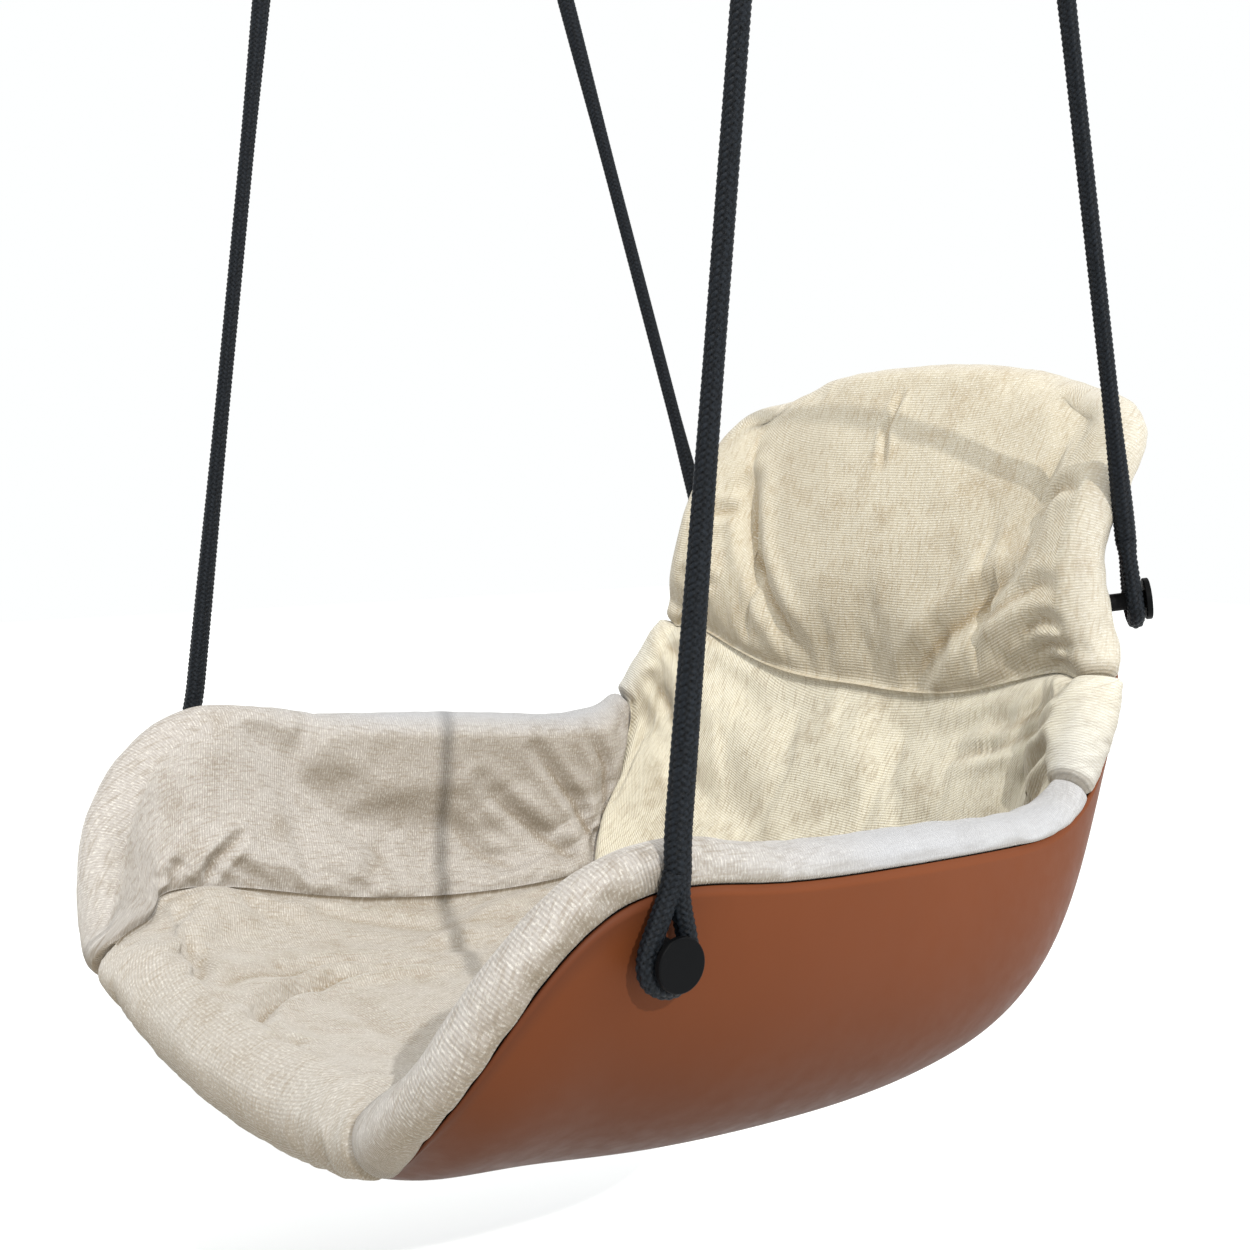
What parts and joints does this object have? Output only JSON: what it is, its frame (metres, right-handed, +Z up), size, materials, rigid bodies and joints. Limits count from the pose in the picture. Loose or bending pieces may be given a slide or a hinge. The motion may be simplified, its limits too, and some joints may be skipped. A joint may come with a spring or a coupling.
{
  "type": "hanging lounge chair",
  "caption": "Padded bucket lounge chair with a leather outside and ribbed cloth cushions, hung on black ropes from screw-down eye plates.",
  "frame": {"origin": "centre of the four eye plates' upper faces, on the surface that they are screwed to", "axes": "+Z up; +X to the sitter's left; +Y to the back of the chair, so that the sitter faces -Y"},
  "size_m": [0.87, 0.8605, 1.2483],
  "materials": {
    "leather": "smooth brown leather, slightly polished",
    "cushion_cloth": "ribbed beige chenille with a crushed sheen",
    "rope": "black braided rope",
    "black_metal": "black powder coat",
    "steel": "stainless steel",
    "shell_plastic": "moulded plastic, hidden",
    "spool_plastic": "black nylon"
  },
  "bodies": {
    "mounting_plates": {"front_left_eye_plate": "black_metal", "front_right_eye_plate": "black_metal", "rear_left_eye_plate": "black_metal", "rear_right_eye_plate": "black_metal"},
    "front_left_hanger": {"front_left_rope": "rope", "front_left_thimble": "steel", "front_left_shackle": "steel", "front_left_shackle_pin": "steel"},
    "front_right_hanger": {"front_right_rope": "rope", "front_right_thimble": "steel", "front_right_shackle": "steel", "front_right_shackle_pin": "steel"},
    "rear_left_hanger": {"rear_left_rope": "rope", "rear_left_thimble": "steel", "rear_left_shackle": "steel", "rear_left_shackle_pin": "steel"},
    "rear_right_hanger": {"rear_right_rope": "rope", "rear_right_thimble": "steel", "rear_right_shackle": "steel", "rear_right_shackle_pin": "steel"},
    "seat": {"leather_cover": "leather", "seat_shell": "shell_plastic", "seat_pad": "cushion_cloth", "left_arm_pad": "cushion_cloth", "right_arm_pad": "cushion_cloth", "lower_back_pad": "cushion_cloth", "upper_back_pad": "cushion_cloth", "front_roll": "cushion_cloth", "top_roll": "cushion_cloth", "left_arm_roll": "cushion_cloth", "right_arm_roll": "cushion_cloth", "left_wing_roll": "cushion_cloth", "right_wing_roll": "cushion_cloth", "anchor_inserts": "steel", "anchor_bolts": "steel", "front_left_spool": "spool_plastic", "front_left_button": "black_metal", "front_right_spool": "spool_plastic", "front_right_button": "black_metal", "rear_left_spool": "spool_plastic", "rear_left_button": "black_metal", "rear_right_spool": "spool_plastic", "rear_right_button": "black_metal"}
  },
  "joints": [
    {"name": "front_left_swing", "type": "hinge", "parent": "mounting_plates", "child": "front_left_hanger", "pos_m": [0.393, -0.1415, -0.027], "axis": [1, 0, 0], "range_deg": [-8, 8]},
    {"name": "front_right_swing", "type": "hinge", "parent": "mounting_plates", "child": "front_right_hanger", "pos_m": [-0.393, -0.1415, -0.027], "axis": [1, 0, 0], "range_deg": [-8, 8]},
    {"name": "rear_left_swing", "type": "hinge", "parent": "mounting_plates", "child": "rear_left_hanger", "pos_m": [0.348, 0.1415, -0.027], "axis": [1, 0, 0], "range_deg": [-9, 9]},
    {"name": "rear_right_swing", "type": "hinge", "parent": "mounting_plates", "child": "rear_right_hanger", "pos_m": [-0.348, 0.1415, -0.027], "axis": [1, 0, 0], "range_deg": [-9, 9]},
    {"name": "seat_rock", "type": "hinge", "parent": "front_left_hanger", "child": "seat", "pos_m": [0, -0.2524, -1.00015], "axis": [1, 0, 0], "range_deg": [-3.4, 3.4]}
  ],
  "couplings": [
    {"joint": "front_right_swing", "follows": "front_left_swing", "ratio": 1},
    {"joint": "rear_left_swing", "follows": "front_left_swing", "ratio": 1.1056},
    {"joint": "rear_right_swing", "follows": "front_left_swing", "ratio": 1.1056},
    {"joint": "seat_rock", "follows": "front_left_swing", "ratio": -0.406}
  ]
}
